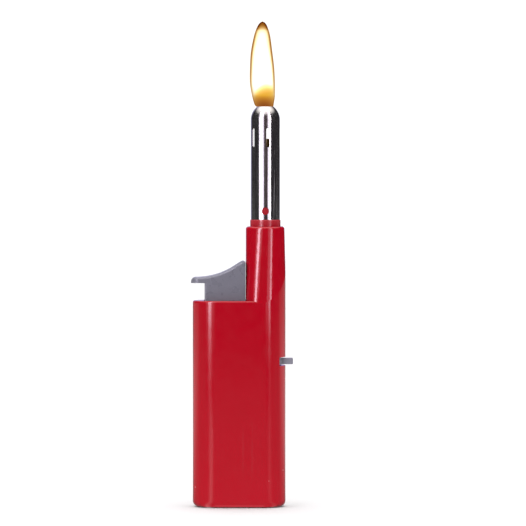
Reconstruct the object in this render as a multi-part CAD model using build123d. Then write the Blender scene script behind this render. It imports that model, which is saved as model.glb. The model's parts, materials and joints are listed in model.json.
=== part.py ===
"""Pocket butane torch: a flat tank body with a neck, a flame tube, a piezo button and a flame adjuster.

Millimetres. The origin is the centre of the base, +Z runs up to the flame, +X is the neck and
adjuster side, and -Y is the front. Every physical piece is its own solid and its own STEP file.
"""

import math
import os

from build123d import *

# ---- Driving sizes -------------------------------------------------------------------------------

BODY_WIDTH = 30.1
BODY_DEPTH = 16.0
BODY_CORNER = 7.6
SHOULDER_Z = 67.0
WALL = 1.3
FLOOR = 1.6
SHOULDER_WALL = 1.4
SLIP = 0.2  # gap that loose plastic pieces keep from each other
FIT = 0.05  # radial gap of pieces that are pushed or slid together

NECK_X = 8.5  # axis of the neck, flame tube, hose and gas valve
NECK_LEFT = 2.15
NECK_TOP = 91.0
NECK_BORE = 5.0

TUBE_RADIUS = 4.7
TUBE_WALL = 0.4
TUBE_BASE = 93.2
TUBE_TOP = 129.8
DOME_HEIGHT = 4.2
DOME_INSET = 2.05  # how far the domed mouth turns in
MOUTH_RADIUS = 2.2
SLOT_TURNS = (-124, -56, 11, 90, 169)  # the air slots, degrees from the front towards +X

PIEZO_X = -4.45  # axis of the igniter
PIEZO_SIZE = 8.0
PLUNGER_SIZE = 6.0

PIVOT_X = 3.6  # gas lever's pin
PIVOT_Z = 47.6
ADJUSTER_Z = 47.3
ADJUSTER_HEIGHT = 2.0

FILLER_X = -6.0
TANK_TOP = 40.0
LID_TOP = 42.4

# ---- Shape helpers -------------------------------------------------------------------------------


def block(x0, x1, y0, y1, z0, z1):
    """A box given by its limits."""
    centre = ((x0 + x1) / 2, (y0 + y1) / 2, (z0 + z1) / 2)
    return Pos(*centre) * Box(x1 - x0, y1 - y0, z1 - z0)


def rod(radius, z0, z1, x=0.0, y=0.0):
    """An upright cylinder from z0 to z1."""
    return Pos(x, y, (z0 + z1) / 2) * Cylinder(radius, z1 - z0)


def ring(outer, inner, z0, z1, x=0.0, y=0.0):
    """An upright tube."""
    return rod(outer, z0, z1, x, y) - rod(inner, z0, z1, x, y)


def cross_rod(radius, y0, y1, x, z):
    """A cylinder along Y."""
    return Pos(x, (y0 + y1) / 2, z) * Rot(90, 0, 0) * Cylinder(radius, y1 - y0)


def side_rod(radius, x0, x1, y, z):
    """A cylinder along X."""
    return Pos((x0 + x1) / 2, y, z) * Rot(0, 90, 0) * Cylinder(radius, x1 - x0)


def rounded_outline(x0, x1, half_depth, left_corner, right_corner):
    """A rectangle in plan whose left and right corners have their own radii."""
    left = x0 + left_corner
    right = x1 - right_corner
    left_y = half_depth - left_corner
    right_y = half_depth - right_corner
    lines = [
        Line((left, -half_depth), (right, -half_depth)),
        RadiusArc((right, -half_depth), (x1, -right_y), -right_corner),
        Line((x1, -right_y), (x1, right_y)),
        RadiusArc((x1, right_y), (right, half_depth), -right_corner),
        Line((right, half_depth), (left, half_depth)),
        RadiusArc((left, half_depth), (x0, left_y), -left_corner),
        Line((x0, left_y), (x0, -left_y)),
        RadiusArc((x0, -left_y), (left, -half_depth), -left_corner),
    ]
    return make_face(lines)


def prism(outline, z0, z1):
    """A plan outline raised from z0 to z1."""
    return extrude(Pos(0, 0, z0) * outline, amount=z1 - z0)


def body_prism(inset, z0, z1):
    """The body's plan outline, moved in by inset, raised from z0 to z1."""
    half_width = BODY_WIDTH / 2 - inset
    corner = BODY_CORNER - inset
    outline = rounded_outline(-half_width, half_width, BODY_DEPTH / 2 - inset, corner, corner)
    return prism(outline, z0, z1)


def coil(radius, wire, turns, z0, z1, x=0.0, y=0.0):
    """An open compression spring whose wire's centre line runs from z0 to z1."""
    height = z1 - z0
    path = Helix(height / turns, height, radius)
    section = Plane(origin=path @ 0, z_dir=path % 0) * Circle(wire / 2)
    return Pos(x, y, z0) * sweep(section, path=path, is_frenet=True)


def side_plate(points, y0, y1):
    """A plate with the given outline in X and Z, from y0 to y1."""
    outline = make_face(Polyline(*points, close=True))
    return Pos(0, y1, 0) * extrude(Plane.XZ * outline, amount=y1 - y0)


def around(shape, count, first_degrees, x=NECK_X):
    """Copies of a shape made at +X, turned about an upright axis at x."""
    step = 360 / count
    return [Pos(x, 0, 0) * Rot(0, 0, first_degrees + step * i) * shape for i in range(count)]


# ---- Casing --------------------------------------------------------------------------------------

NECK_RADIUS = 6.2
NECK_FOOT_Z = 66.0
NECK_FOOT_RIGHT = 15.3
NECK_FOOT_CORNERS = (4.3, 7.6)  # left and right
NECK_RIM = 0.9
SHOULDER_ROUND = 0.65
BASE_ROUND = 2.0
NECK_ROOT_Z = 60.0  # the neck's foot is merged into the body down to here
FLANGE_Z = (85.0, 86.5)
FLANGE_RADIUS = 5.5
WELL = (-11.4, NECK_LEFT, 5.2)  # left edge, right edge and half depth of the button's opening
ADJUSTER_SLOT = (45.9, 48.7, 5.5, 10.8)  # bottom, top, half depth and left edge
BOSS_PLACES = [(-12.2, 49.6), (12.1, 60.0)]
BOSS_RADIUS = 1.15
DOWEL_RADIUS = 0.6
DOWEL_LENGTH = 2.2
SHELF_Z = (42.6, 43.7)
SHELF_HALF_LENGTH = 9.0
SHELF_EDGE_Y = 5.6
RIB_THICKNESS = 0.9
SEAM = 0.12  # depth and half width of the groove along the parting line
RIB_Z = (46.5, 52.5)
FILLER_RADIUS = 2.6


def neck():
    """The neck: body-deep at its foot, round at its top, cut to the body's outline."""
    foot = rounded_outline(NECK_LEFT, NECK_FOOT_RIGHT, BODY_DEPTH / 2, *NECK_FOOT_CORNERS)
    top_corner = NECK_RADIUS - 0.01
    top_right = NECK_X + NECK_RADIUS
    top = rounded_outline(NECK_LEFT, top_right, NECK_RADIUS, top_corner, top_corner)
    tower = loft([Pos(0, 0, NECK_FOOT_Z) * foot, Pos(0, 0, NECK_TOP) * top], ruled=True)
    tower = fillet(tower.edges().filter_by(lambda e: e.center().Z > NECK_TOP - 0.01), NECK_RIM)
    tower += prism(foot, NECK_ROOT_Z, NECK_FOOT_Z)
    return tower & body_prism(0, NECK_ROOT_Z, NECK_TOP)


def body_block():
    """The body without its neck, with soft shoulder and base edges."""
    solid = body_prism(0, 0, SHOULDER_Z)
    top_edges = solid.edges().filter_by(lambda e: e.center().Z > SHOULDER_Z - 0.01)
    solid = fillet(top_edges, SHOULDER_ROUND)
    return fillet(solid.edges().filter_by(lambda e: e.center().Z < 0.01), BASE_ROUND)


def neck_hollow():
    """The bore for the nozzle holder, with the groove that its flange snaps into."""
    bore = rod(NECK_BORE, SHOULDER_Z - 2 * SHOULDER_WALL, NECK_TOP + 1, NECK_X)
    groove = rod(FLANGE_RADIUS + 0.1, FLANGE_Z[0] - 0.1, FLANGE_Z[1] + 0.1, NECK_X)
    return bore + groove


def casing():
    """The whole casing before it is parted into its two shells."""
    solid = body_block() + neck()
    solid -= body_prism(WALL, FLOOR, SHOULDER_Z - SHOULDER_WALL)
    solid -= neck_hollow()
    left, right, half = WELL
    well = prism(rounded_outline(left, right, half, 1.0, 0.2), SHOULDER_Z - 2, SHOULDER_Z + 1)
    solid -= well
    low, high, reach, slot_left = ADJUSTER_SLOT
    solid -= block(slot_left, BODY_WIDTH / 2 + 1, -reach, reach, low, high)
    solid -= rod(FILLER_RADIUS + 0.1, -1, FLOOR + 1, FILLER_X)
    return solid - seam_groove()


def shell_trim(side):
    """Inner shelf over the tank and ribs beside the igniter, for the shell on one side of Y."""
    inner = side * (BODY_DEPTH / 2 - WALL + 0.1)
    shelf_edge = side * SHELF_EDGE_Y
    rib_edge = side * (PIEZO_SIZE / 2 - 1.5)
    ys = sorted((inner, shelf_edge))
    rib_ys = sorted((inner, rib_edge))
    case_left = PIEZO_X - PIEZO_SIZE / 2 - SLIP
    case_right = PIEZO_X + PIEZO_SIZE / 2 + SLIP
    pieces = block(-SHELF_HALF_LENGTH, SHELF_HALF_LENGTH, *ys, *SHELF_Z)
    pieces += block(case_left - RIB_THICKNESS, case_left, *rib_ys, *RIB_Z)
    pieces += block(case_right, case_right + RIB_THICKNESS, *rib_ys, *RIB_Z)
    return pieces


def boss(y0, y1, x, z):
    """A round boss that ends inside the wall."""
    return cross_rod(BOSS_RADIUS, y0, y1, x, z) & body_prism(WALL / 2, FLOOR, SHOULDER_Z)


def seam_groove():
    """The fine groove along the body's sides, where the two shells meet."""
    low = FLOOR + 2
    high = NECK_ROOT_Z - 1
    return block(-20, 20, -SEAM, SEAM, low, high) - body_prism(SEAM, low - 1, high + 1)


def front_shell(whole):
    """Front half with the two dowels."""
    half = whole & block(-20, 20, -10, 0, -1, NECK_TOP + 1)
    half += shell_trim(-1)
    for x, z in BOSS_PLACES:
        half += boss(-BODY_DEPTH / 2, 0, x, z)
        half += cross_rod(DOWEL_RADIUS, -0.5, DOWEL_LENGTH, x, z)
    return half


def rear_shell(whole):
    """Rear half with the two sockets."""
    half = whole & block(-20, 20, 0, 10, -1, NECK_TOP + 1)
    half += shell_trim(1)
    for x, z in BOSS_PLACES:
        half += boss(0, BODY_DEPTH / 2, x, z)
        half -= cross_rod(DOWEL_RADIUS + FIT, -0.5, DOWEL_LENGTH + 0.3, x, z)
    return half


# ---- Flame tube and burner -----------------------------------------------------------------------

COLLAR_RADIUS = 4.93
SPIGOT_RADIUS = TUBE_RADIUS - TUBE_WALL - FIT
HOLDER_BOTTOM = 82.0
HOLDER_TOP = 99.0
HOLDER_BORE = 3.4
SNAP_Z = 96.0
SNAP_RADIUS = 1.2
NUB_REACH = TUBE_RADIUS - 0.3  # the snap nub sits a little below the tube's surface
AIR_SLOT = (1.15, 116.6, 122.9)  # width and end heights
CRIMP_Z = 127.4
CRIMP_COUNT = 6
CRIMP_TURN = -29.0
JET_FLANGE_Z = (99.1, 102.0)
JET_RADIUS = 1.7
BARB_RADIUS = 0.9
BARB_LENGTH = 4.6
GAS_BORE = 0.35
SLEEVE_RADIUS = 0.6
HOSE = (1.6, 0.95, 52.5, 98.6)  # outer and inner radius, bottom and top
BURNER_Z = (112.0, 119.4)
BURNER_RADIUS = 2.1
SPARK_Y = 2.75  # the electrode stands behind the burner
ELECTRODE_RADIUS = 0.28


def tube_profile(radius, inset, base, top):
    """Half section of the tube's inside or outside, closed on its axis."""
    start = top - DOME_HEIGHT
    side = Line((radius, base), (radius, start))
    dome = TangentArc((radius, start), (radius - inset, top), tangent=(0, 1))
    lid = Line((radius - inset, top), (0, top))
    axis = Line((0, top), (0, base))
    floor = Line((0, base), (radius, base))
    return make_face([side, dome, lid, axis, floor])


def nozzle_tube():
    """Drawn metal tube with a domed mouth, air slots, crimps and the snap hole."""
    outer = revolve(Plane.XZ * tube_profile(TUBE_RADIUS, DOME_INSET, TUBE_BASE, TUBE_TOP))
    hollow = Plane.XZ * tube_profile(
        TUBE_RADIUS - TUBE_WALL, DOME_INSET, TUBE_BASE - 0.01, TUBE_TOP - TUBE_WALL
    )
    solid = Pos(NECK_X, 0, 0) * (outer - revolve(hollow))
    solid -= rod(MOUTH_RADIUS, TUBE_TOP - 2, TUBE_TOP + 1, NECK_X)
    width, low, high = AIR_SLOT
    straight = block(3, 6, -width / 2, width / 2, low + width / 2, high - width / 2)
    slot = straight + side_rod(width / 2, 3, 6, 0, low + width / 2)
    slot += side_rod(width / 2, 3, 6, 0, high - width / 2)
    solid -= [Pos(NECK_X, 0, 0) * Rot(0, 0, turn - 90) * slot for turn in SLOT_TURNS]
    crimp = Pos(TUBE_RADIUS, 0, CRIMP_Z) * scale(Sphere(0.4), (0.6, 0.8, 1.6))
    solid -= around(crimp, CRIMP_COUNT, CRIMP_TURN - 90)
    solid -= cross_rod(SNAP_RADIUS + FIT, -6, -3, NECK_X, SNAP_Z)
    return solid


def nozzle_holder():
    """Red plug: flanged root in the neck, collar on the neck's top, spigot in the tube."""
    solid = rod(NECK_BORE - 0.1, HOLDER_BOTTOM, NECK_TOP + 0.1, NECK_X)
    solid += rod(FLANGE_RADIUS, *FLANGE_Z, NECK_X)
    collar = rod(COLLAR_RADIUS, NECK_TOP + 0.02, TUBE_BASE - 0.02, NECK_X)
    top_edge = collar.edges().filter_by(lambda e: e.center().Z > TUBE_BASE - 0.1)
    solid += chamfer(top_edge, 0.2)
    solid += rod(SPIGOT_RADIUS, TUBE_BASE - 0.1, HOLDER_TOP, NECK_X)
    nub = cross_rod(SNAP_RADIUS, -NUB_REACH, -(HOLDER_BORE + 0.3), NECK_X, SNAP_Z)
    solid += nub
    solid -= rod(HOLDER_BORE, HOLDER_BOTTOM - 1, HOLDER_TOP + 1, NECK_X)
    return solid


def jet_holder():
    """Brass body of the burner: barb in the hose, flange on the spigot, stalk up to the cup."""
    low, high = JET_FLANGE_Z
    solid = rod(SPIGOT_RADIUS, low, high, NECK_X)
    solid += rod(BARB_RADIUS, low - BARB_LENGTH, low, NECK_X)
    solid += rod(JET_RADIUS, high, BURNER_Z[0], NECK_X)
    solid -= rod(GAS_BORE, low - BARB_LENGTH - 1, BURNER_Z[0] + 1, NECK_X)
    solid -= rod(SLEEVE_RADIUS + FIT, low - 1, high + 1, NECK_X, SPARK_Y)
    return solid


def jet_nozzle():
    """Burner cup that mixes gas and air, with four air holes at its foot."""
    low, high = BURNER_Z
    solid = ring(BURNER_RADIUS, BURNER_RADIUS - 0.45, low + 0.05, high, NECK_X)
    solid += ring(BURNER_RADIUS, 0.6, low + 0.05, low + 0.8, NECK_X)
    hole = side_rod(0.45, 0.8, 3.0, 0, low + 1.8)
    solid -= around(hole, 4, 45)
    return solid


def flame_disc():
    """Perforated disc that holds the flame at the top of the burner cup."""
    high = BURNER_Z[1]
    solid = rod(BURNER_RADIUS - 0.5, high - 0.9, high - 0.3, NECK_X)
    hole = rod(0.22, high - 1.5, high, 1.0)
    solid -= around(hole, 6, 0)
    solid -= rod(0.22, high - 1.5, high, NECK_X)
    return solid


def electrode_sleeve():
    """Ceramic sleeve that insulates the electrode from the burner."""
    return ring(SLEEVE_RADIUS, ELECTRODE_RADIUS + 0.04, JET_FLANGE_Z[0] + 0.2, 113.5, NECK_X, SPARK_Y)


def spark_electrode():
    """Steel wire that bends in over the burner, where the spark jumps."""
    start = (NECK_X, SPARK_Y, 100.0)
    bend = (NECK_X, SPARK_Y, 119.5)
    tip = (NECK_X, SPARK_Y - 1.5, 122.0)
    path = Wire(FilletPolyline(start, bend, tip, radius=1.2).edges())
    section = Plane(origin=start, z_dir=(0, 0, 1)) * Circle(ELECTRODE_RADIUS)
    return sweep(section, path=path)


def gas_hose():
    """Hose from the valve stem's spigot up to the burner's barb."""
    return ring(*HOSE, NECK_X)


# ---- Spark circuit -------------------------------------------------------------------------------

CONTACT_Y = (5.3, 5.7)
CONTACT_Z = (44.8, 46.2)


def hv_contact():
    """Brass strip on the rear wall; its finger rubs on the piezo case as it sinks."""
    strip = block(PIEZO_X - 0.7, 5.6, *CONTACT_Y, *CONTACT_Z)
    strip += block(PIEZO_X - 0.7, PIEZO_X + 0.7, *CONTACT_Y, CONTACT_Z[1], 50.4)
    finger_y = PIEZO_SIZE / 2 + FIT
    strip += block(PIEZO_X - 0.7, PIEZO_X + 0.7, finger_y, CONTACT_Y[1], 50.0, 50.4)
    return strip


def hv_wire():
    """Insulated wire from the contact strip, up the neck beside the hose, to the sleeve."""
    low = Line((5.2, 4.75, CONTACT_Z[0]), (5.2, 4.75, 50.0))
    high = Line((NECK_X, SPARK_Y, 80.0), (NECK_X, SPARK_Y, 98.9))
    cross = Spline(low @ 1, high @ 0, tangents=[(0, 0, 1), (0, 0, 1)])
    section = Plane(origin=low @ 0, z_dir=(0, 0, 1)) * Circle(0.5)
    return sweep(section, path=Wire([low, cross, high]))


# ---- Gas tank and its valves ---------------------------------------------------------------------

TANK_WALL = 1.0
TANK_GAP = 0.2
WEB = (0.2, 1.0, 30.0)  # left and right face and top of the tank's cross web
TRANSFER_RADIUS = 1.5
BOSS_HOLE = 3.02
VALVE_RADIUS = 3.0
VALVE_Z = (34.5, 45.5)
CAP_Z = 43.0
VALVE_BORE = 2.3
SEAT_THICKNESS = 1.5
STEM_RADIUS = 1.2
STEM_BOTTOM = 36.9
STEM_TOP = 51.0
SPIGOT_TOP = 54.5
COLLAR_Z = (50.2, 50.8)
STEM_FLANGE_Z = (37.6, 38.3)
LID_BOSS_BOTTOM = 32.5
LID_BOSS_RADIUS = 3.8
POST_Y = (2.4, 3.4)
POST_HALF_WIDTH = 1.2
PIN_RADIUS = 0.6


def tank_body():
    """Open-topped tank with a cross web, and a hole in its floor for the refill valve."""
    inset = WALL + TANK_GAP
    floor = FLOOR + 0.1
    solid = body_prism(inset, floor, TANK_TOP)
    solid -= body_prism(inset + TANK_WALL, floor + TANK_WALL, TANK_TOP + 1)
    half_depth = BODY_DEPTH / 2 - inset - TANK_WALL / 2
    left, right, top = WEB
    solid += block(left, right, -half_depth, half_depth, floor, top)
    solid -= side_rod(TRANSFER_RADIUS, left - 0.2, right + 0.2, 0, floor + TANK_WALL + TRANSFER_RADIUS)
    solid -= rod(FILLER_RADIUS + 0.02, 0, floor + 2, FILLER_X)
    return solid


def tank_lid():
    """Lid with a plug rim, the valve's boss and the two posts that carry the gas lever."""
    inset = WALL + TANK_GAP
    solid = body_prism(inset, TANK_TOP + 0.01, LID_TOP)
    rim = body_prism(inset + TANK_WALL + FIT, TANK_TOP - 1.6, TANK_TOP + 0.1)
    solid += rim - body_prism(inset + 2 * TANK_WALL, TANK_TOP - 2, TANK_TOP + 0.01)
    solid += rod(LID_BOSS_RADIUS, LID_BOSS_BOTTOM, VALVE_Z[1] - 0.2, NECK_X)
    low, high = POST_Y
    post_left = PIVOT_X - POST_HALF_WIDTH
    post_right = PIVOT_X + POST_HALF_WIDTH
    for y0, y1 in ((-high, -low), (low, high)):
        solid += block(post_left, post_right, y0, y1, LID_TOP - 0.1, PIVOT_Z + POST_HALF_WIDTH + 0.2)
    solid -= cross_rod(PIN_RADIUS + 0.02, -5, 5, PIVOT_X, PIVOT_Z)
    solid -= rod(BOSS_HOLE, LID_BOSS_BOTTOM - 1, VALVE_Z[1] + 1, NECK_X)
    return solid


def pickup_filter():
    """Felt plug under the valve."""
    return rod(2.95, LID_BOSS_BOTTOM + 0.4, VALVE_Z[0] - 0.05, NECK_X)


def pickup_wick():
    """Wick that hangs from the filter to the tank's floor."""
    return rod(1.0, 3.2, LID_BOSS_BOTTOM + 0.35, NECK_X)


def valve_body():
    """Brass cup with the valve's seat in its floor."""
    solid = rod(VALVE_RADIUS, VALVE_Z[0], CAP_Z, NECK_X)
    solid -= rod(VALVE_BORE, VALVE_Z[0] + SEAT_THICKNESS, CAP_Z + 1, NECK_X)
    solid -= rod(0.5, VALVE_Z[0] - 1, CAP_Z, NECK_X)
    return solid


def valve_cap():
    """Brass cap that guides the stem and holds the O-ring."""
    solid = rod(VALVE_RADIUS, CAP_Z + 0.02, VALVE_Z[1], NECK_X)
    solid -= rod(STEM_RADIUS + FIT, CAP_Z - 1, VALVE_Z[1] + 1, NECK_X)
    solid -= rod(1.9, CAP_Z + 0.7, CAP_Z + 1.6, NECK_X)
    return solid


def valve_oring():
    """O-ring around the stem."""
    minor = 0.33
    major = STEM_RADIUS + minor + 0.01
    return Pos(NECK_X, 0, CAP_Z + 1.15) * Torus(major, minor)


def valve_stem():
    """Hollow stem: flange under the spring, collar over the gas lever's fork, spigot in the hose."""
    low, high = STEM_FLANGE_Z
    solid = rod(STEM_RADIUS, STEM_BOTTOM, STEM_TOP, NECK_X)
    solid += rod(2.1, low, high, NECK_X)
    solid += rod(2.0, *COLLAR_Z, NECK_X)
    solid += rod(BARB_RADIUS, STEM_TOP, SPIGOT_TOP, NECK_X)
    solid -= rod(GAS_BORE, 39.5, SPIGOT_TOP + 1, NECK_X)
    solid -= cross_rod(0.3, -3, 3, NECK_X, 40.0)
    return solid


def stem_seal():
    """Rubber disc that the stem presses on the seat."""
    return rod(STEM_RADIUS, VALVE_Z[0] + SEAT_THICKNESS + 0.02, STEM_BOTTOM - 0.02, NECK_X)


def valve_spring():
    """Spring that holds the stem down on its seat."""
    wire = 0.3
    low = STEM_FLANGE_Z[1] + wire / 2 + 0.02
    return coil(1.75, wire, 5, low, CAP_Z - wire / 2 - 0.02, NECK_X)


def filler_body():
    """Brass refill valve: mouth, lip, chamber, and a guide hole at its top."""
    solid = rod(FILLER_RADIUS, 0.3, 10.0, FILLER_X)
    solid -= rod(1.6, 0, 3.3, FILLER_X)
    solid -= rod(0.9, 3, 5, FILLER_X)
    solid -= rod(1.8, 4.3, 9.2, FILLER_X)
    solid -= rod(0.8, 9, 11, FILLER_X)
    return solid


def filler_stem():
    """Check pin of the refill valve; its head presses the O-ring on the lip."""
    return rod(0.75, 3.4, 6.0, FILLER_X) + rod(1.5, 5.0, 5.7, FILLER_X)


def filler_oring():
    """O-ring between the check pin's head and the lip."""
    minor = 0.33
    return Pos(FILLER_X, 0, 4.3 + minor + 0.01) * Torus(0.75 + minor + 0.01, minor)


def filler_spring():
    """Spring that closes the check pin."""
    wire = 0.25
    return coil(1.3, wire, 4, 5.7 + wire / 2 + 0.02, 9.2 - wire / 2 - 0.02, FILLER_X)


# ---- Gas lever and flame adjuster ----------------------------------------------------------------

LEVER_HALF_WIDTH = 2.2
LEVER_ARM_Z = (44.2, 45.0)
FORK_Z = (49.3, 50.1)
FORK_END = 9.5
BUSH_RADIUS = 2.4
HUB_RADIUS = 3.4
FAN_RADIUS = 5.6
FAN_HALF_ANGLE = 50.0
TAB_END = 17.5
TAB_HALF_WIDTH = 1.6


def gas_lever():
    """Rocker of bent plate: the piezo unit presses its left arm, and its fork lifts the stem."""
    low, high = LEVER_ARM_Z
    half = LEVER_HALF_WIDTH
    solid = block(-6.6, 3.3, -half, half, low, high)
    solid += block(2.5, 3.3, -half, half, low, PIVOT_Z)
    solid += cross_rod(1.25, -half, half, PIVOT_X, PIVOT_Z)
    riser = [(3.2, 48.4), (4.4, 47.9), (5.4, FORK_Z[0]), (5.4, FORK_Z[1]), (4.9, FORK_Z[1])]
    solid += side_plate(riser, -half, half)
    solid += block(5.0, FORK_END, -half, half, *FORK_Z)
    throat = STEM_RADIUS + 0.15
    solid -= block(NECK_X, FORK_END + 1, -throat, throat, 49, 51) + rod(throat, 49, 51, NECK_X)
    solid -= cross_rod(PIN_RADIUS + FIT, -5, 5, PIVOT_X, PIVOT_Z)
    return solid


def lever_pin():
    """Pin of the gas lever, held in the lid's posts."""
    return cross_rod(PIN_RADIUS, -POST_Y[1], POST_Y[1], PIVOT_X, PIVOT_Z)


def adjuster_sleeve():
    """Brass bush that meters the gas; the adjuster wheel turns it."""
    return ring(BUSH_RADIUS, STEM_RADIUS + 0.1, VALVE_Z[1] + 0.1, 48.9, NECK_X)


def adjuster_wheel():
    """Hub, fan and the thumb tab that sticks out of the casing's slot."""
    low = ADJUSTER_Z - ADJUSTER_HEIGHT / 2
    high = ADJUSTER_Z + ADJUSTER_HEIGHT / 2
    angle = math.radians(FAN_HALF_ANGLE)
    corner = (NECK_X + FAN_RADIUS * math.cos(angle), FAN_RADIUS * math.sin(angle))
    edges = [
        Line((NECK_X, 0), (corner[0], -corner[1])),
        ThreePointArc((corner[0], -corner[1]), (NECK_X + FAN_RADIUS, 0), corner),
        Line(corner, (NECK_X, 0)),
    ]
    solid = prism(make_face(edges), low, high)
    solid += rod(HUB_RADIUS, low, high, NECK_X)
    tab = block(NECK_X + 3.0, TAB_END, -TAB_HALF_WIDTH, TAB_HALF_WIDTH, low, high)
    tab = fillet(tab.edges().filter_by(lambda e: e.center().X > TAB_END - 0.01), 0.4)
    solid += tab
    solid -= rod(BUSH_RADIUS + 0.02, low - 1, high + 1, NECK_X)
    return solid


# ---- Igniter -------------------------------------------------------------------------------------

SKIRT_LEFT = -11.17
SKIRT_RIGHT = 2.05
SKIRT_HALF = 5.0
SKIRT_WALL = 0.8
SKIRT_BOTTOM = 58.0
LIP_BOTTOM = 72.7
LIP_TIP = -15.6
BUTTON_TOP = 79.8
BUTTON_ROUND = 0.9
CASE_Z = (45.9, 61.0)
CASE_BORE = 6.4
CASE_FLOOR = 46.5
POST_TOP = 48.0
ANVIL_TOP = 52.0
PLUNGER_Z = (56.0, 73.0)
PLUNGER_BORE = 2.0
PLUNGER_ROOF = 70.0
HAMMER_Z = (55.2, 59.5)
HAMMER_PIN_Z = 57.5
HAMMER_PIN_RADIUS = 0.4


def button_head():
    """Top of the button: the scoop, the crest beside the neck and the curled lip."""
    lip_edge = (LIP_TIP, LIP_BOTTOM + 0.5)
    lip_top = (LIP_TIP + 1.2, LIP_BOTTOM + 1.85)
    rise = (-1.0, 78.65)
    crest = (0.9, BUTTON_TOP)
    scoop = ThreePointArc(lip_top, (-5.9, 76.05), rise)
    edges = [
        Line((SKIRT_RIGHT, LIP_BOTTOM), (LIP_TIP, LIP_BOTTOM)),
        Line((LIP_TIP, LIP_BOTTOM), lip_edge),
        RadiusArc(lip_edge, lip_top, 1.5),
        scoop,
        TangentArc(rise, crest, tangent=scoop % 1),
        Line(crest, (SKIRT_RIGHT, BUTTON_TOP)),
        Line((SKIRT_RIGHT, BUTTON_TOP), (SKIRT_RIGHT, LIP_BOTTOM)),
    ]
    head = extrude(Plane.XZ * make_face(edges), amount=SKIRT_HALF, both=True)
    plan = rounded_outline(LIP_TIP - 0.01, SKIRT_RIGHT, SKIRT_HALF, 2.6, 0.15)
    head &= prism(plan, LIP_BOTTOM, BUTTON_TOP + 1)
    side_edges = head.edges().filter_by(
        lambda e: e.center().Z > lip_top[1] + 0.05 and abs(e.center().Y) > SKIRT_HALF - 0.1
    )
    return fillet(side_edges, BUTTON_ROUND)


def thumb_button():
    """Hollow button: scooped head on a skirt with a retaining flange and the plunger's socket."""
    skirt = rounded_outline(SKIRT_LEFT, SKIRT_RIGHT, SKIRT_HALF, 0.6, 0.15)
    solid = button_head() + prism(skirt, SKIRT_BOTTOM, LIP_BOTTOM + 0.5)
    solid += prism(rounded_outline(SKIRT_LEFT - 0.9, SKIRT_RIGHT + 0.8, 5.9, 4.2, 0.5), 64.2, 65.4)
    inner_left = SKIRT_LEFT + SKIRT_WALL
    inner_right = SKIRT_RIGHT - SKIRT_WALL
    inner_half = SKIRT_HALF - SKIRT_WALL
    solid -= block(inner_left, inner_right, -inner_half, inner_half, SKIRT_BOTTOM - 1, 71.0)
    socket = PLUNGER_SIZE / 2 + FIT
    solid -= block(PIEZO_X - socket, PIEZO_X + socket, -socket, socket, 70.5, PLUNGER_Z[1] + FIT)
    return solid


def piezo_plunger():
    """Square plunger with the striker's bore and the slot that the striker's pin runs in."""
    half = PLUNGER_SIZE / 2
    low, high = PLUNGER_Z
    solid = block(PIEZO_X - half, PIEZO_X + half, -half, half, low, high)
    solid -= rod(PLUNGER_BORE, low - 1, PLUNGER_ROOF, PIEZO_X)
    slot = HAMMER_PIN_RADIUS + 0.15
    solid -= block(PIEZO_X - 4, PIEZO_X + 4, -slot, slot, low - 1, 62.3)
    return solid


def piezo_case():
    """Square case that guides the plunger; the striker's pin runs in its two windows."""
    half = PIEZO_SIZE / 2
    bore = CASE_BORE / 2
    low, high = CASE_Z
    solid = block(PIEZO_X - half, PIEZO_X + half, -half, half, low, high)
    solid -= block(PIEZO_X - bore, PIEZO_X + bore, -bore, bore, CASE_FLOOR, high + 1)
    solid += rod(1.9, CASE_FLOOR - 0.1, POST_TOP, PIEZO_X)
    solid -= rod(1.52, low - 1, POST_TOP + 1, PIEZO_X)
    window = HAMMER_PIN_RADIUS + 0.15
    solid -= block(PIEZO_X - 5, PIEZO_X + 5, -window, window, 53.9, 58.1)
    return solid


def piezo_terminal():
    """Metal foot of the igniter, which presses on the gas lever."""
    return rod(1.5, 45.2, 46.4, PIEZO_X)


def piezo_ceramic():
    """Piezo crystal."""
    return rod(1.5, 46.42, 51.0, PIEZO_X)


def piezo_anvil():
    """Steel cap that the striker hits."""
    return rod(1.5, 51.02, ANVIL_TOP, PIEZO_X)


def piezo_return_spring():
    """Spring that pushes the plunger and the button back up."""
    wire = 0.4
    return coil(2.6, wire, 5, CASE_FLOOR + wire / 2 + 0.02, PLUNGER_Z[0] - wire / 2 - 0.02, PIEZO_X)


def hammer():
    """Striker with the cross hole for its pin."""
    solid = rod(1.85, *HAMMER_Z, PIEZO_X)
    return solid - side_rod(HAMMER_PIN_RADIUS + 0.02, PIEZO_X - 3, PIEZO_X + 3, 0, HAMMER_PIN_Z)


def hammer_pin():
    """Pin that holds the striker up until it trips."""
    reach = PIEZO_SIZE / 2 - 0.1
    return side_rod(HAMMER_PIN_RADIUS, PIEZO_X - reach, PIEZO_X + reach, 0, HAMMER_PIN_Z)


def piezo_impact_spring():
    """Spring that drives the striker down."""
    wire = 0.35
    low = HAMMER_Z[1] + wire / 2 + 0.02
    return coil(1.55, wire, 6, low, PLUNGER_ROOF - wire / 2 - 0.02, PIEZO_X)


# ---- Output --------------------------------------------------------------------------------------


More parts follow.
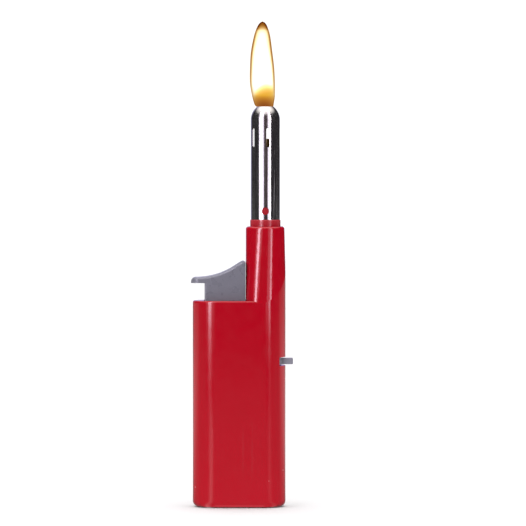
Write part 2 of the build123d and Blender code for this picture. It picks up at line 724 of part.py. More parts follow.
def all_pieces():
    """Every piece by its node name."""
    whole = casing()
    return {
        "front_shell": front_shell(whole),
        "rear_shell": rear_shell(whole),
        "nozzle_holder": nozzle_holder(),
        "nozzle_tube": nozzle_tube(),
        "jet_holder": jet_holder(),
        "jet_nozzle": jet_nozzle(),
        "flame_disc": flame_disc(),
        "electrode_sleeve": electrode_sleeve(),
        "spark_electrode": spark_electrode(),
        "gas_hose": gas_hose(),
        "hv_contact": hv_contact(),
        "hv_wire": hv_wire(),
        "tank_body": tank_body(),
        "tank_lid": tank_lid(),
        "pickup_filter": pickup_filter(),
        "pickup_wick": pickup_wick(),
        "valve_body": valve_body(),
        "valve_cap": valve_cap(),
        "valve_oring": valve_oring(),
        "valve_stem": valve_stem(),
        "stem_seal": stem_seal(),
        "valve_spring": valve_spring(),
        "filler_body": filler_body(),
        "filler_stem": filler_stem(),
        "filler_oring": filler_oring(),
        "filler_spring": filler_spring(),
        "gas_lever": gas_lever(),
        "lever_pin": lever_pin(),
        "adjuster_sleeve": adjuster_sleeve(),
        "adjuster_wheel": adjuster_wheel(),
        "thumb_button": thumb_button(),
        "piezo_plunger": piezo_plunger(),
        "piezo_case": piezo_case(),
        "piezo_terminal": piezo_terminal(),
        "piezo_ceramic": piezo_ceramic(),
        "piezo_anvil": piezo_anvil(),
        "piezo_return_spring": piezo_return_spring(),
        "hammer": hammer(),
        "hammer_pin": hammer_pin(),
        "piezo_impact_spring": piezo_impact_spring(),
    }


os.makedirs("parts", exist_ok=True)
for name, shape in all_pieces().items():
    export_step(shape, f"parts/{name}.step")
    print(f"{name}: {len(shape.solids())} solid, {shape.volume:.1f} mm3")
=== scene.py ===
import json
import math

import bmesh
import bpy
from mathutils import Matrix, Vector

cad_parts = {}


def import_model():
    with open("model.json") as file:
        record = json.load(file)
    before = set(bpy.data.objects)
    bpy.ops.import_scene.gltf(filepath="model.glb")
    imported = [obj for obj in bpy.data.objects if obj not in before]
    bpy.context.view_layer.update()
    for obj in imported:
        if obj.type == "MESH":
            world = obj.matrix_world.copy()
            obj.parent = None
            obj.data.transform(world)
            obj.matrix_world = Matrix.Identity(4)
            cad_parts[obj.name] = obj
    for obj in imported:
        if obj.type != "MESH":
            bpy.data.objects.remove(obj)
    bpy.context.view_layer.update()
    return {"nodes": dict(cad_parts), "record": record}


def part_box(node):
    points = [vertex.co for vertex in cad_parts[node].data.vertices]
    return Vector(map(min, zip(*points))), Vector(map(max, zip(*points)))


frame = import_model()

# Pocket butane torch. Metres, in the row frame: +Z up, +X towards the neck, -Y the front.

MM = 0.001
NODES = frame["nodes"]

# ---- The camera's framing ------------------------------------------------------------------------

SENSOR = 36.0  # mm
CAMERA_DISTANCE = 1.3
CAMERA_Z = 0.115
VIEW_WIDTH = 0.1706  # width that the picture shows at the torch
VIEW_CENTRE_X = 0.00775
VIEW_CENTRE_Z = 0.0791

# ---- The studio ----------------------------------------------------------------------------------

BACKDROP = 1.12  # what the camera sees behind the torch
AMBIENT = 0.70  # soft light from the horizon on matt surfaces
OVERHEAD = 5.0  # how much brighter the soft light is straight above
SIDE_FALL = 0.36  # share that the soft light loses towards the right

# Spans of directions are in degrees from the front towards +X, here and below.
DARK_STUDIO = (0.021, 0.019, 0.022)  # the unlit studio in reflections
FRONT_GAP = (0.062, 0.042, 0.044)  # the gap between the two strips
FRONT_GAP_SPAN = (-10.0, 17.0)
FRONT_GAP_EDGE = 3.0
LEFT_BACK = (0.52, 0.50, 0.78)
LEFT_BACK_FADE = (-132, -174)  # from the dark studio to the full colour
RIGHT_BACK = (0.36, 0.31, 0.62)
RIGHT_BACK_FADE = (156, 176)
OVERHEAD_GLEAM = (1.8, 1.76, 1.72)
OVERHEAD_FADE = (0.55, 0.95)  # upward part of the direction

STRIP_DISTANCE = 0.55
STRIP_LOW = -0.02
STRIP_HIGH = 1.00
STRIP_FOOT = (0.033, 0.052)  # between these heights a strip comes up to its brightness
STRIP_FOOT_POWER = 0.03  # share of its brightness below them
STRIP_TINT = (1.04, 0.96, 1.10)
STRIP_EDGE = 2.5
STRIP_CORE_EDGE = 6.0

# Each strip: its span, its bright core's span, and the brightness of the soft part and of the core.
LEFT_STRIP = ((-51.0, -12.0), (-39.0, -25.0), 1.1, 9.5)
RIGHT_STRIP = ((19.0, 43.0), (34.0, 44.0), 1.1, 5.0)

FLOOR_HALF = 3.0
FLOOR_SHADE = 0.47
FLOOR_GLOW = 0.22  # what reflections see of the floor near the torch
GLOW_HALF = 2.5
GLOW_Z = -0.0005
GLOW_NARROWING = 1.9  # how much shorter the pale floor reaches to the front and back
GLOW_FADE = (1.1, 2.2)
FLOOR_BEHIND = 0.3  # what the floor behind the torch adds to it
BEHIND_FADE = (0.0, 0.25)

# The strips' streaks on the floor: how far left and right they start, then each span and brightness.
STREAK_START = 7.5 * MM
LEFT_STREAK = ((-32.0, -16.0), 0.75)
RIGHT_STREAK = ((30.0, 44.0), 0.25)
STREAK_EDGE = 10.0
STREAK_FADE = (0.4, 1.6)

BOUNCE = 1.7  # light that the floor close in front of the torch throws back up
BOUNCE_HALF = 0.08
BOUNCE_Y = (-0.085, -0.006)
BOUNCE_Z = 0.0004

# ---- Colours, linear -----------------------------------------------------------------------------

RED = (0.330, 0.0, 0.0085)
RED_DEEP = (0.310, 0.0, 0.0065)
COLLAR_RED = (0.27, 0.001, 0.008)
COLLAR_PALE = (0.30, 0.004, 0.013)
GREY = (0.115, 0.112, 0.142)
GREY_LIGHT = (0.136, 0.132, 0.166)
STEEL = (0.80, 0.785, 0.79)

EDGE_POINTINESS = (0.53, 0.62)  # where edge wear starts and where it is full
GRAIN_DEPTH = 0.012 * MM  # of moulded inner parts


# ---- Node helpers --------------------------------------------------------------------------------


def new_material(name):
    """An empty node material with a Principled shader; returns material, tree and shader."""
    material = bpy.data.materials.new(name)
    material.use_nodes = True
    tree = material.node_tree
    shader = tree.nodes["Principled BSDF"]
    return material, tree, shader


def connect(tree, socket, value):
    """Links a socket to another one, or sets its value."""
    if isinstance(value, bpy.types.NodeSocket):
        tree.links.new(value, socket)
    else:
        socket.default_value = value


def fill(tree, node, sockets):
    """Fills sockets of a node with values or other sockets."""
    for key, value in sockets.items():
        connect(tree, node.inputs[key], value)


def put(tree, kind, sockets=None, **settings):
    """Adds a node, sets its properties and fills its sockets."""
    node = tree.nodes.new(kind)
    for key, value in settings.items():
        setattr(node, key, value)
    fill(tree, node, sockets or {})
    return node


def place(tree, scale=(1, 1, 1), turn=(0, 0, 0)):
    """Position on the piece, in metres, stretched by scale."""
    coords = put(tree, "ShaderNodeTexCoord")
    mapping = put(tree, "ShaderNodeMapping", {"Vector": coords.outputs["Object"]})
    mapping.inputs["Scale"].default_value = scale
    mapping.inputs["Rotation"].default_value = turn
    return mapping.outputs["Vector"]


def noise(tree, scale, detail=3.0, roughness=0.5, vector=None):
    """A noise value."""
    sockets = {"Scale": scale, "Detail": detail, "Roughness": roughness}
    sockets["Vector"] = vector or place(tree)
    return put(tree, "ShaderNodeTexNoise", sockets).outputs["Fac"]


def spread(tree, value, low, high, out_low, out_high):
    """Maps a value from low..high to out_low..out_high, clamped."""
    sockets = {
        "Value": value,
        "From Min": low,
        "From Max": high,
        "To Min": out_low,
        "To Max": out_high,
    }
    return put(tree, "ShaderNodeMapRange", sockets).outputs["Result"]


def maths(tree, operation, a, b=0.0):
    """One maths operation."""
    node = put(tree, "ShaderNodeMath", operation=operation)
    for socket, value in zip(node.inputs, (a, b)):
        connect(tree, socket, value)
    return node.outputs["Value"]


def blend_colour(tree, factor, first, second):
    """Mixes two colours, given as tuples or sockets."""
    node = put(tree, "ShaderNodeMix", data_type="RGBA")
    sockets = (node.inputs[0], node.inputs[6], node.inputs[7])
    for socket, value in zip(sockets, (factor, first, second)):
        connect(tree, socket, (*value, 1.0) if isinstance(value, tuple) else value)
    return node.outputs[2]


def bump(tree, height, depth, strength=1.0, under=None):
    """A bump of the given depth in metres, on top of another bump if there is one."""
    sockets = {"Height": height, "Distance": depth, "Strength": strength}
    if under:
        sockets["Normal"] = under
    return put(tree, "ShaderNodeBump", sockets).outputs["Normal"]


def scratches(tree, turn, threshold):
    """A mask of thin straight scratches along one direction."""
    stretched = place(tree, scale=(900, 900, 26), turn=turn)
    lines = noise(tree, 1.0, 2.0, 0.5, stretched)
    return spread(tree, lines, threshold, threshold + 0.02, 0.0, 1.0)


def specks(tree, scale, size, share):
    """A mask of small dust specks; share is how many cells hold one."""
    cells = put(tree, "ShaderNodeTexVoronoi", {"Vector": place(tree), "Scale": scale})
    dots = spread(tree, cells.outputs["Distance"], size, size * 0.6, 0.0, 1.0)
    pick = put(tree, "ShaderNodeSeparateColor", {"Color": cells.outputs["Color"]})
    chosen = maths(tree, "LESS_THAN", pick.outputs["Red"], share)
    return maths(tree, "MULTIPLY", dots, chosen)


def edge_wear(tree):
    """Where the surface is a sharp outer edge."""
    geometry = put(tree, "ShaderNodeNewGeometry")
    return spread(tree, geometry.outputs["Pointiness"], *EDGE_POINTINESS, 0.0, 1.0)


# ---- Materials -----------------------------------------------------------------------------------


def glossy_red():
    """Moulded glossy red plastic: slight orange peel, fine scratches, dust specks."""
    material, tree, shader = new_material("glossy_red_plastic")
    cloud = noise(tree, 90.0, 2.0)
    base = blend_colour(tree, cloud, RED_DEEP, RED)
    base = blend_colour(tree, maths(tree, "MULTIPLY", edge_wear(tree), 0.12), base, (0.62, 0.10, 0.12))
    dust = specks(tree, 420.0, 0.09, 0.05)
    base = blend_colour(tree, maths(tree, "MULTIPLY", dust, 0.55), base, (0.75, 0.42, 0.42))
    fine = maths(tree, "ADD", scratches(tree, (0, 0.9, 0.2), 0.70), scratches(tree, (0.5, -0.4, 0), 0.71))
    rough = spread(tree, noise(tree, 320.0), 0.3, 0.7, 0.10, 0.15)
    rough = maths(tree, "ADD", rough, maths(tree, "MULTIPLY", fine, 0.10))
    rough = maths(tree, "ADD", rough, maths(tree, "MULTIPLY", dust, 0.4))
    peel = bump(tree, noise(tree, 380.0, 1.0), 0.000006)
    worn = bump(tree, fine, 0.0000015, 0.4, peel)
    fill(
        tree,
        shader,
        {
            "Base Color": base,
            "Roughness": rough,
            "Normal": bump(tree, dust, 0.00001, 0.6, worn),
            "IOR": 1.52,
            "Coat Weight": 0.2,
            "Coat Roughness": 0.05,
        },
    )
    return material


def satin_red():
    """Duller red plastic of the nozzle holder."""
    material, tree, shader = new_material("satin_red_plastic")
    base = blend_colour(tree, noise(tree, 700.0), COLLAR_RED, COLLAR_PALE)
    base = blend_colour(tree, maths(tree, "MULTIPLY", edge_wear(tree), 0.2), base, (0.6, 0.12, 0.14))
    grain = bump(tree, noise(tree, 2600.0, 3.0), 0.00001)
    rough = spread(tree, noise(tree, 500.0), 0.3, 0.7, 0.16, 0.24)
    fill(tree, shader, {"Base Color": base, "Roughness": rough, "Normal": grain, "IOR": 1.4})
    return material


def satin_grey():
    """Fine-textured grey plastic of the button and the adjuster."""
    material, tree, shader = new_material("satin_grey_plastic")
    base = blend_colour(tree, noise(tree, 160.0, 2.0), GREY, GREY_LIGHT)
    base = blend_colour(tree, maths(tree, "MULTIPLY", edge_wear(tree), 0.3), base, (0.36, 0.35, 0.42))
    dust = specks(tree, 600.0, 0.08, 0.05)
    base = blend_colour(tree, maths(tree, "MULTIPLY", dust, 0.5), base, (0.55, 0.55, 0.6))
    grain = bump(tree, noise(tree, 5200.0, 2.0), 0.000012)
    rough = spread(tree, noise(tree, 420.0), 0.3, 0.7, 0.24, 0.36)
    fill(tree, shader, {"Base Color": base, "Roughness": rough, "Normal": grain, "IOR": 1.5})
    return material


def tube_metal():
    """Bright drawn tube: fine drawing lines, scratches, slight heat tint at the mouth."""
    material, tree, shader = new_material("bright_tube_metal")
    low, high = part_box("nozzle_tube")
    coords = put(tree, "ShaderNodeTexCoord")
    axes = put(tree, "ShaderNodeSeparateXYZ", {"Vector": coords.outputs["Object"]})
    heat = spread(tree, axes.outputs["Z"], high.z - 9 * MM, high.z, 0.0, 1.0)
    patchy = maths(tree, "MULTIPLY", heat, spread(tree, noise(tree, 260.0), 0.35, 0.7, 0.0, 0.5))
    base = blend_colour(tree, patchy, STEEL, (0.62, 0.50, 0.44))
    lines = noise(tree, 1.0, 2.0, 0.5, place(tree, scale=(5200, 5200, 90)))
    fine = scratches(tree, (0.7, 0.2, 0), 0.67)
    rough = maths(tree, "ADD", spread(tree, lines, 0.3, 0.7, 0.08, 0.17), maths(tree, "MULTIPLY", fine, 0.2))
    rough = maths(tree, "ADD", rough, maths(tree, "MULTIPLY", heat, 0.05))
    drawn = bump(tree, lines, 0.000002)
    dents = bump(tree, noise(tree, 240.0, 1.0), 0.000008, 0.6, drawn)
    fill(tree, shader, {"Base Color": base, "Roughness": rough, "Normal": dents, "Metallic": 1.0})
    return material


def metal(name, light, dark, rough_low, rough_high):
    """Turned or plain metal of the inner parts."""
    material, tree, shader = new_material(name)
    rings = noise(tree, 1.0, 2.0, 0.5, place(tree, scale=(400, 400, 5200)))
    base = blend_colour(tree, spread(tree, noise(tree, 500.0), 0.3, 0.7, 0, 1), dark, light)
    rough = spread(tree, rings, 0.3, 0.7, rough_low, rough_high)
    turned = bump(tree, rings, 0.000004)
    fill(tree, shader, {"Base Color": base, "Roughness": rough, "Normal": turned, "Metallic": 1.0})
    return material


def moulded(name, light, dark, rough_low, rough_high):
    """Moulded plastic, rubber or fired ceramic of the inner parts."""
    material, tree, shader = new_material(name)
    base = blend_colour(tree, spread(tree, noise(tree, 300.0), 0.3, 0.7, 0, 1), dark, light)
    rough = spread(tree, noise(tree, 900.0), 0.3, 0.7, rough_low, rough_high)
    grain = bump(tree, noise(tree, 3600.0, 3.0), GRAIN_DEPTH)
    fill(tree, shader, {"Base Color": base, "Roughness": rough, "Normal": grain})
    return material


def felt():
    """Pressed felt of the pick-up."""
    material, tree, shader = new_material("pressed_felt")
    fibres = noise(tree, 1.0, 4.0, 0.7, place(tree, scale=(2600, 2600, 900), turn=(0.4, 0.3, 0)))
    base = blend_colour(tree, fibres, (0.55, 0.52, 0.45), (0.85, 0.83, 0.77))
    fill(tree, shader, {"Base Color": base, "Roughness": 0.95, "Normal": bump(tree, fibres, 0.00006)})
    shader.inputs["Sheen Weight"].default_value = 0.3
    return material


def emission(name, colour, strength, one_sided=False):
    """A light-emitting material of a studio card; strength makes its brightness from the tree."""
    material = bpy.data.materials.new(name)
    material.use_nodes = True
    tree = material.node_tree
    tree.nodes.clear()
    glow = put(tree, "ShaderNodeEmission", {"Color": (*colour, 1.0), "Strength": strength(tree)})
    surface = glow.outputs[0]
    if one_sided:
        behind = put(tree, "ShaderNodeNewGeometry").outputs["Backfacing"]
        clear = put(tree, "ShaderNodeBsdfTransparent").outputs[0]
        surface = put(tree, "ShaderNodeMixShader", {0: behind, 1: surface, 2: clear}).outputs[0]
    put(tree, "ShaderNodeOutputMaterial", {"Surface": surface})
    return material


# ---- The torch's surfaces ------------------------------------------------------------------------


def dress_nodes():
    """Gives every CAD node its material by its slot in the record."""
    brass = metal("turned_brass", (0.80, 0.60, 0.30), (0.62, 0.44, 0.20), 0.22, 0.38)
    steel = metal("plain_steel", (0.62, 0.61, 0.60), (0.46, 0.46, 0.47), 0.24, 0.40)
    looks = {
        "red_plastic": glossy_red(),
        "red_satin_plastic": satin_red(),
        "tube_metal": tube_metal(),
        "grey_plastic": satin_grey(),
        "brass": brass,
        "steel": steel,
        "white_ceramic": moulded("fired_ceramic", (0.86, 0.84, 0.78), (0.76, 0.73, 0.66), 0.5, 0.7),
        "clear_rubber": moulded("hose_rubber", (0.62, 0.58, 0.48), (0.50, 0.46, 0.38), 0.4, 0.55),
        "wire_insulation": moulded("wire_cover", (0.05, 0.05, 0.05), (0.03, 0.03, 0.03), 0.35, 0.5),
        "tank_plastic": moulded("tank_plastic", (0.74, 0.74, 0.72), (0.64, 0.64, 0.62), 0.3, 0.45),
        "felt": felt(),
        "black_rubber": moulded("seal_rubber", (0.035, 0.035, 0.035), (0.015, 0.015, 0.015), 0.5, 0.7),
        "white_plastic": moulded("white_plastic", (0.82, 0.82, 0.80), (0.74, 0.74, 0.72), 0.35, 0.5),
        "black_plastic": moulded("black_plastic", (0.03, 0.03, 0.03), (0.015, 0.015, 0.015), 0.35, 0.5),
    }
    for entry in frame["record"]["subparts"]:
        piece = NODES[entry["node"]]
        piece.data.materials.clear()
        piece.data.materials.append(looks[entry["material_slot"]])


# ---- Flame, shown as stage dressing --------------------------------------------------------------

# height above the tube's mouth, sideways lean, half width: mm
FLAME_OUTLINE = [
    (0.0, -0.20, 2.75),
    (0.3, -0.28, 2.95),
    (1.0, -0.44, 3.20),
    (3.6, -0.60, 3.75),
    (7.5, -0.92, 4.08),
    (12.6, -1.05, 3.95),
    (17.8, -1.20, 3.48),
    (23.0, -1.05, 2.62),
    (25.7, -0.97, 1.72),
    (27.0, -0.92, 0.95),
    (27.6, -0.90, 0.03),
]
FLAME_RINGS = 60
FLAME_SIDES = 64
FLAME_THINNEST = 0.02  # smallest half width, mm
TIP_INSET = 1.6  # how much further a layer stays back from the tip than from the sides
RING_RISE = 0.001  # keeps the rings of a shortened layer apart, mm

# Outer and inner inset of each hollow layer, and the outer inset of each filled one, mm.
RIM_INSETS = (0.0, 0.28)
FRINGE_INSETS = (0.29, 0.90)
HEART_INSET = 0.60
ROOT_INSET = 0.40
BASE_INSET = 0.43


def smooth_at(points, t):
    """Catmull-Rom value at t in 0..1 along rows of equal length."""
    span = t * (len(points) - 1)
    i = min(int(span), len(points) - 2)
    u = span - i
    rows = [points[max(0, min(len(points) - 1, i + k))] for k in (-1, 0, 1, 2)]
    values = []
    for a, b, c, d in zip(*rows):
        cubic = (3 * b - 3 * c + d - a) * u**3
        square = (2 * a - 5 * b + 4 * c - d) * u * u
        values.append(0.5 * (2 * b + (c - a) * u + square + cubic))
    return values


def mouth_centre():
    """Centre of the tube's mouth."""
    low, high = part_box("nozzle_tube")
    return Vector(((low.x + high.x) / 2, (low.y + high.y) / 2, high.z))


def flame_skin(mesh, inset, flip):
    """Adds one closed flame surface, inset from the outline by a number of mm, to a bmesh."""
    mouth = mouth_centre()
    tip = FLAME_OUTLINE[-1][0]
    rings = []
    for i in range(FLAME_RINGS + 1):
        height, lean, half = smooth_at(FLAME_OUTLINE, i / FLAME_RINGS)
        half = max(FLAME_THINNEST, half - inset)
        height = min(height, tip - TIP_INSET * inset + RING_RISE * i)
        ring = []
        for k in range(FLAME_SIDES):
            turn = 2 * math.pi * k / FLAME_SIDES
            offset = Vector((lean + half * math.cos(turn), half * math.sin(turn), height))
            ring.append(mesh.verts.new(mouth + offset * MM))
        rings.append(ring)
    for lower, upper in zip(rings, rings[1:]):
        for k in range(FLAME_SIDES):
            n = (k + 1) % FLAME_SIDES
            corners = [lower[k], lower[n], upper[n], upper[k]]
            mesh.faces.new(corners[::-1] if flip else corners)
    mesh.faces.new(rings[0] if flip else rings[0][::-1])
    mesh.faces.new(rings[-1][::-1] if flip else rings[-1])


def flame_gas(name, kind, colour, density, profile):
    """A volume material; profile makes a factor of the density from the place above the mouth."""
    material = bpy.data.materials.new(name)
    material.use_nodes = True
    tree = material.node_tree
    tree.nodes.clear()
    coords = put(tree, "ShaderNodeTexCoord").outputs["Object"]
    offset = put(tree, "ShaderNodeVectorMath", {0: coords, 1: mouth_centre()}, operation="SUBTRACT")
    amount = maths(tree, "MULTIPLY", profile(tree, offset.outputs[0]), density)
    gas = put(tree, kind, {"Color": (*colour, 1.0)})
    tree.links.new(amount, gas.inputs["Density" if "Density" in gas.inputs else "Strength"])
    put(tree, "ShaderNodeOutputMaterial", {"Volume": gas.outputs[0]})
    return material


def by_height(low, high, at_low, at_high):
    """A profile that changes with height, in mm above the mouth."""

    def profile(tree, offset):
        axes = put(tree, "ShaderNodeSeparateXYZ", {"Vector": offset})
        return spread(tree, axes.outputs["Z"], low * MM, high * MM, at_low, at_high)

    return profile


def heart_profile(tree, offset):
    """Bright between the golden dome at the root and the tip."""
    dome = dome_fade(3.6, 8.6, 0.75)(tree, offset)
    above = maths(tree, "SUBTRACT", 1.0, dome)
    low = by_height(3.5, 7.5, 0.0, 1.0)(tree, offset)
    fall = by_height(23.6, 26.4, 1.0, 0.0)(tree, offset)
    return maths(tree, "MULTIPLY", maths(tree, "MULTIPLY", above, low), fall)


def rim_profile(tree, offset):
    """Strong at the flame's foot and at its tip, weaker between them."""
    foot = by_height(0, 4, 0.9, 0.0)(tree, offset)
    upper = by_height(6, 20, 0.45, 1.0)(tree, offset)
    tip = by_height(24.6, 27.6, 0.0, 4.5)(tree, offset)
    return maths(tree, "ADD", maths(tree, "ADD", foot, upper), tip)


def dome_fade(half, height, solid_share):
    """A profile that fades from a dome's heart to its skin; half width and height in mm."""

    def profile(tree, offset):
        stretch = (1000 / half, 1000 / half, 1000 / height)
        scaled = put(tree, "ShaderNodeVectorMath", {0: offset, 1: stretch}, operation="MULTIPLY")
        away = put(tree, "ShaderNodeVectorMath", {0: scaled.outputs[0]}, operation="LENGTH")
        return spread(tree, away.outputs["Value"], 1.0, solid_share, 0.0, 1.0)

    return profile


def stage_mesh(name, mesh, material):
    """Makes a smooth stage object from a bmesh."""
    data = bpy.data.meshes.new(name)
    mesh.to_mesh(data)
    mesh.free()
    data.shade_smooth()
    data.materials.append(material)
    obj = bpy.data.objects.new(name, data)
    bpy.context.scene.collection.objects.link(obj)
    return obj


def flame_layer(name, outer, inner, material):
    """A flame layer between two insets in mm; filled up when there is no inner one."""
    mesh = bmesh.new()
    flame_skin(mesh, outer, False)
    if inner is not None:
        flame_skin(mesh, inner, True)
    layer = stage_mesh(name, mesh, material)
    layer.visible_shadow = False
    layer.visible_diffuse = False
    layer.visible_glossy = False


def make_flame():
    """The flame: a thin brown rim, a pale yellow fringe, a white heart and a golden root."""
    absorb = "ShaderNodeVolumeAbsorption"
    rim = flame_gas("flame_rim", absorb, (0.71, 0.47, 0.0), 1900.0, rim_profile)
    fringe = flame_gas("flame_fringe", absorb, (0.995, 0.93, 0.45), 90.0, by_height(18, 28, 0.6, 3.0))
    heart = flame_gas("flame_heart", "ShaderNodeEmission", (1.0, 0.99, 0.97), 340.0, heart_profile)
    gold = flame_gas("flame_root", absorb, (0.945, 0.75, 0.0), 430.0, dome_fade(4.5, 8.8, 0.8))
    brown = flame_gas("flame_base", absorb, (0.34, 0.0, 0.5), 300.0, by_height(0, 3.6, 1.0, 0.0))
    flame_layer("flame_rim", *RIM_INSETS, rim)
    flame_layer("flame_fringe", *FRINGE_INSETS, fringe)
    flame_layer("flame_heart", HEART_INSET, None, heart)
    flame_layer("flame_root", ROOT_INSET, None, gold)
    flame_layer("flame_base", BASE_INSET, None, brown)


# ---- Studio --------------------------------------------------------------------------------------


def card(name, corners, material):
    """A flat studio card from its four corners."""
    mesh = bmesh.new()
    mesh.faces.new([mesh.verts.new(c) for c in corners])
    obj = stage_mesh(name, mesh, material)
    obj.visible_camera = False
    obj.visible_shadow = False
    return obj


def direction_point(degrees, distance, z):
    """A point at a direction from the front, at a distance from the torch's neck."""
    angle = math.radians(degrees)
    return (mouth_centre().x + distance * math.sin(angle), -distance * math.cos(angle), z)


def strip_light(name, span, core, soft_power, core_power):
    """An upright strip light: a soft part over its span and a brighter core."""
    corners = [
        direction_point(span[0], STRIP_DISTANCE, STRIP_LOW),
        direction_point(span[1], STRIP_DISTANCE, STRIP_LOW),
        direction_point(span[1], STRIP_DISTANCE, STRIP_HIGH),
        direction_point(span[0], STRIP_DISTANCE, STRIP_HIGH),
    ]

    def strength(tree):
        coords = put(tree, "ShaderNodeTexCoord").outputs["Object"]
        axes = put(tree, "ShaderNodeSeparateXYZ", {"Vector": coords})
        turn = direction_of(tree, coords, mouth_centre().x)
        soft = band(tree, turn, span, STRIP_EDGE, soft_power)
        bright = band(tree, turn, core, STRIP_CORE_EDGE, core_power)
        foot = spread(tree, axes.outputs["Z"], *STRIP_FOOT, STRIP_FOOT_POWER, 1.0)
        return maths(tree, "MULTIPLY", maths(tree, "ADD", soft, bright), foot)

    strip = card(name, corners, emission(name, STRIP_TINT, strength))
    strip.visible_diffuse = False


def direction_of(tree, coords, seen_from):
    """The direction of a point, seen from a place on X: radians from the front towards +X."""
    axes = put(tree, "ShaderNodeSeparateXYZ", {"Vector": coords})
    across = maths(tree, "SUBTRACT", axes.outputs["X"], seen_from)
    back = maths(tree, "MULTIPLY", axes.outputs["Y"], -1.0)
    return maths(tree, "ARCTAN2", across, back)


def band(tree, turn, span, soft_edge, power):
    """Power inside a span of directions, fading over soft_edge degrees beyond each end."""
    low, high = (math.radians(value) for value in span)
    edge = math.radians(soft_edge)
    rise = spread(tree, turn, low - edge / 2, low + edge / 2, 0.0, power)
    fall = spread(tree, turn, high + edge / 2, high - edge / 2, 0.0, 1.0)
    return maths(tree, "MULTIPLY", rise, fall)


def floor():
    """Plain pale floor that only the camera and soft light see."""
    material, tree, shader = new_material("pale_floor")
    fill(tree, shader, {"Base Color": (FLOOR_SHADE, FLOOR_SHADE, FLOOR_SHADE, 1.0), "Roughness": 0.9})
    mesh = bmesh.new()
    size = FLOOR_HALF
    for x, y in ((-size, -size), (size, -size), (size, size), (-size, size)):
        mesh.verts.new((x, y, 0.0))
    mesh.faces.new(mesh.verts)
    plane = stage_mesh("floor", mesh, material)
    plane.visible_glossy = False


def streak(tree, coords, start_x, span, power):
    """The streak that a strip light leaves on the floor."""
    return band(tree, direction_of(tree, coords, start_x), span, STREAK_EDGE, power)


def floor_glow():
    """What reflections see of the floor: pale near the torch, reaching further to the sides."""

    def strength(tree):
        coords = put(tree, "ShaderNodeTexCoord").outputs["Object"]
        narrowed = {0: coords, 1: (1.0, GLOW_NARROWING, 1.0)}
        reach = put(tree, "ShaderNodeVectorMath", narrowed, operation="MULTIPLY")
        length = put(tree, "ShaderNodeVectorMath", {0: reach.outputs[0]}, operation="LENGTH")
        away = length.outputs["Value"]
        pale = spread(tree, away, *GLOW_FADE, FLOOR_GLOW, 0.0)
        axes = put(tree, "ShaderNodeSeparateXYZ", {"Vector": coords})
        behind = spread(tree, axes.outputs["Y"], *BEHIND_FADE, 0.0, FLOOR_BEHIND)
        left = streak(tree, coords, -STREAK_START, *LEFT_STREAK)
        right = streak(tree, coords, STREAK_START, *RIGHT_STREAK)
        near = spread(tree, away, *STREAK_FADE, 1.0, 0.0)
        streaks = maths(tree, "MULTIPLY", maths(tree, "ADD", left, right), near)
        return maths(tree, "ADD", maths(tree, "ADD", pale, behind), streaks)

    size = GLOW_HALF
    corners = [(-size, -size, GLOW_Z), (size, -size, GLOW_Z), (size, size, GLOW_Z), (-size, size, GLOW_Z)]
    glow = card("floor_glow", corners, emission("floor_glow", (1, 1, 1), strength))
    glow.visible_diffuse = False


def front_bounce():
    """Soft light that comes up off the floor close in front of the torch."""
    half = BOUNCE_HALF
    front, back = BOUNCE_Y
    corners = [
        (-half, front, BOUNCE_Z),
        (half, front, BOUNCE_Z),
        (half, back, BOUNCE_Z),
        (-half, back, BOUNCE_Z),
    ]
    material = emission("front_bounce", (1, 1, 1), lambda tree: BOUNCE, one_sided=True)
    bounce = card("front_bounce", corners, material)
    bounce.visible_glossy = False


def fade_in(tree, turn, fade):
    """Rises from 0 to 1 between two directions."""
    return spread(tree, turn, math.radians(fade[0]), math.radians(fade[1]), 0.0, 1.0)


def studio_reflection(tree, axes):
    """The studio as reflections see it: dark, with a pale left back and a bluish right back."""
    back = maths(tree, "MULTIPLY", axes.outputs["Y"], -1.0)
    turn = maths(tree, "ARCTAN2", axes.outputs["X"], back)
    gap = band(tree, turn, FRONT_GAP_SPAN, FRONT_GAP_EDGE, 1.0)
    above = spread(tree, axes.outputs["Z"], *OVERHEAD_FADE, 0.0, 1.0)
    colour = blend_colour(tree, gap, DARK_STUDIO, FRONT_GAP)
    colour = blend_colour(tree, fade_in(tree, turn, LEFT_BACK_FADE), colour, LEFT_BACK)
    colour = blend_colour(tree, fade_in(tree, turn, RIGHT_BACK_FADE), colour, RIGHT_BACK)
    return blend_colour(tree, above, colour, OVERHEAD_GLEAM)


def choose(tree, factor, without, within):
    """Mixes two shaders' outputs."""
    return put(tree, "ShaderNodeMixShader", {0: factor, 1: without, 2: within}).outputs[0]


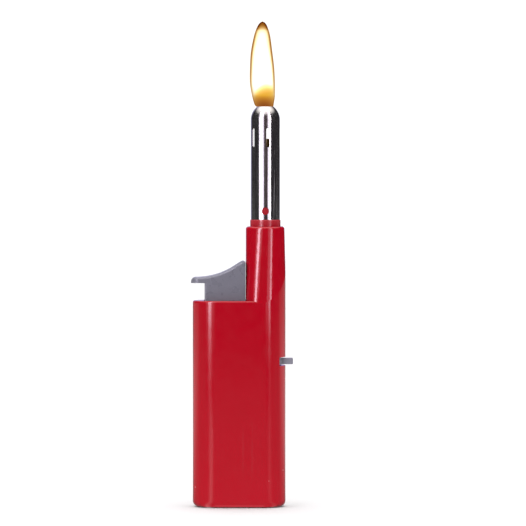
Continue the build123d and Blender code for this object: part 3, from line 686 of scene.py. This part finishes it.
def world():
    """White surround for the camera, soft light from above, and a darker studio for reflections."""
    scene_world = bpy.data.worlds.new("studio")
    bpy.context.scene.world = scene_world
    scene_world.use_nodes = True
    tree = scene_world.node_tree
    tree.nodes.clear()
    direction = put(tree, "ShaderNodeTexCoord").outputs["Generated"]
    axes = put(tree, "ShaderNodeSeparateXYZ", {"Vector": direction})
    up = maths(tree, "MAXIMUM", axes.outputs["Z"], 0.0)
    lift = maths(tree, "MULTIPLY", maths(tree, "MULTIPLY", up, up), OVERHEAD)
    side = maths(tree, "MULTIPLY", axes.outputs["X"], -SIDE_FALL)
    soft = maths(tree, "MULTIPLY", maths(tree, "ADD", lift, maths(tree, "ADD", side, 1.0)), AMBIENT)
    path = put(tree, "ShaderNodeLightPath")
    matt = put(tree, "ShaderNodeBackground", {"Color": (1, 1, 1, 1), "Strength": soft})
    mirrored = put(tree, "ShaderNodeBackground", {"Color": studio_reflection(tree, axes)})
    backdrop = put(tree, "ShaderNodeBackground", {"Color": (1, 1, 1, 1), "Strength": BACKDROP})
    lights = choose(tree, path.outputs["Is Glossy Ray"], matt.outputs[0], mirrored.outputs[0])
    shown = choose(tree, path.outputs["Is Camera Ray"], lights, backdrop.outputs[0])
    put(tree, "ShaderNodeOutputWorld", {"Surface": shown})


def camera():
    """Long-lens camera at the height of the nozzle, looking slightly down at the torch's middle."""
    data = bpy.data.cameras.new("camera")
    data.sensor_width = SENSOR
    data.lens = SENSOR * CAMERA_DISTANCE / VIEW_WIDTH
    data.clip_end = 20.0
    eye = bpy.data.objects.new("camera", data)
    bpy.context.scene.collection.objects.link(eye)
    eye.location = (VIEW_CENTRE_X, -CAMERA_DISTANCE, CAMERA_Z)
    tilt = math.atan2(CAMERA_Z - VIEW_CENTRE_Z, CAMERA_DISTANCE)
    eye.rotation_euler = (math.radians(90) - tilt, 0.0, 0.0)
    bpy.context.scene.camera = eye


def studio():
    """Floor, lights, surround and camera."""
    floor()
    floor_glow()
    front_bounce()
    strip_light("left_strip", *LEFT_STRIP)
    strip_light("right_strip", *RIGHT_STRIP)
    world()
    camera()
    bpy.context.scene.view_settings.view_transform = "Standard"


# ---- Making --------------------------------------------------------------------------------------

dress_nodes()
make_flame()
studio()
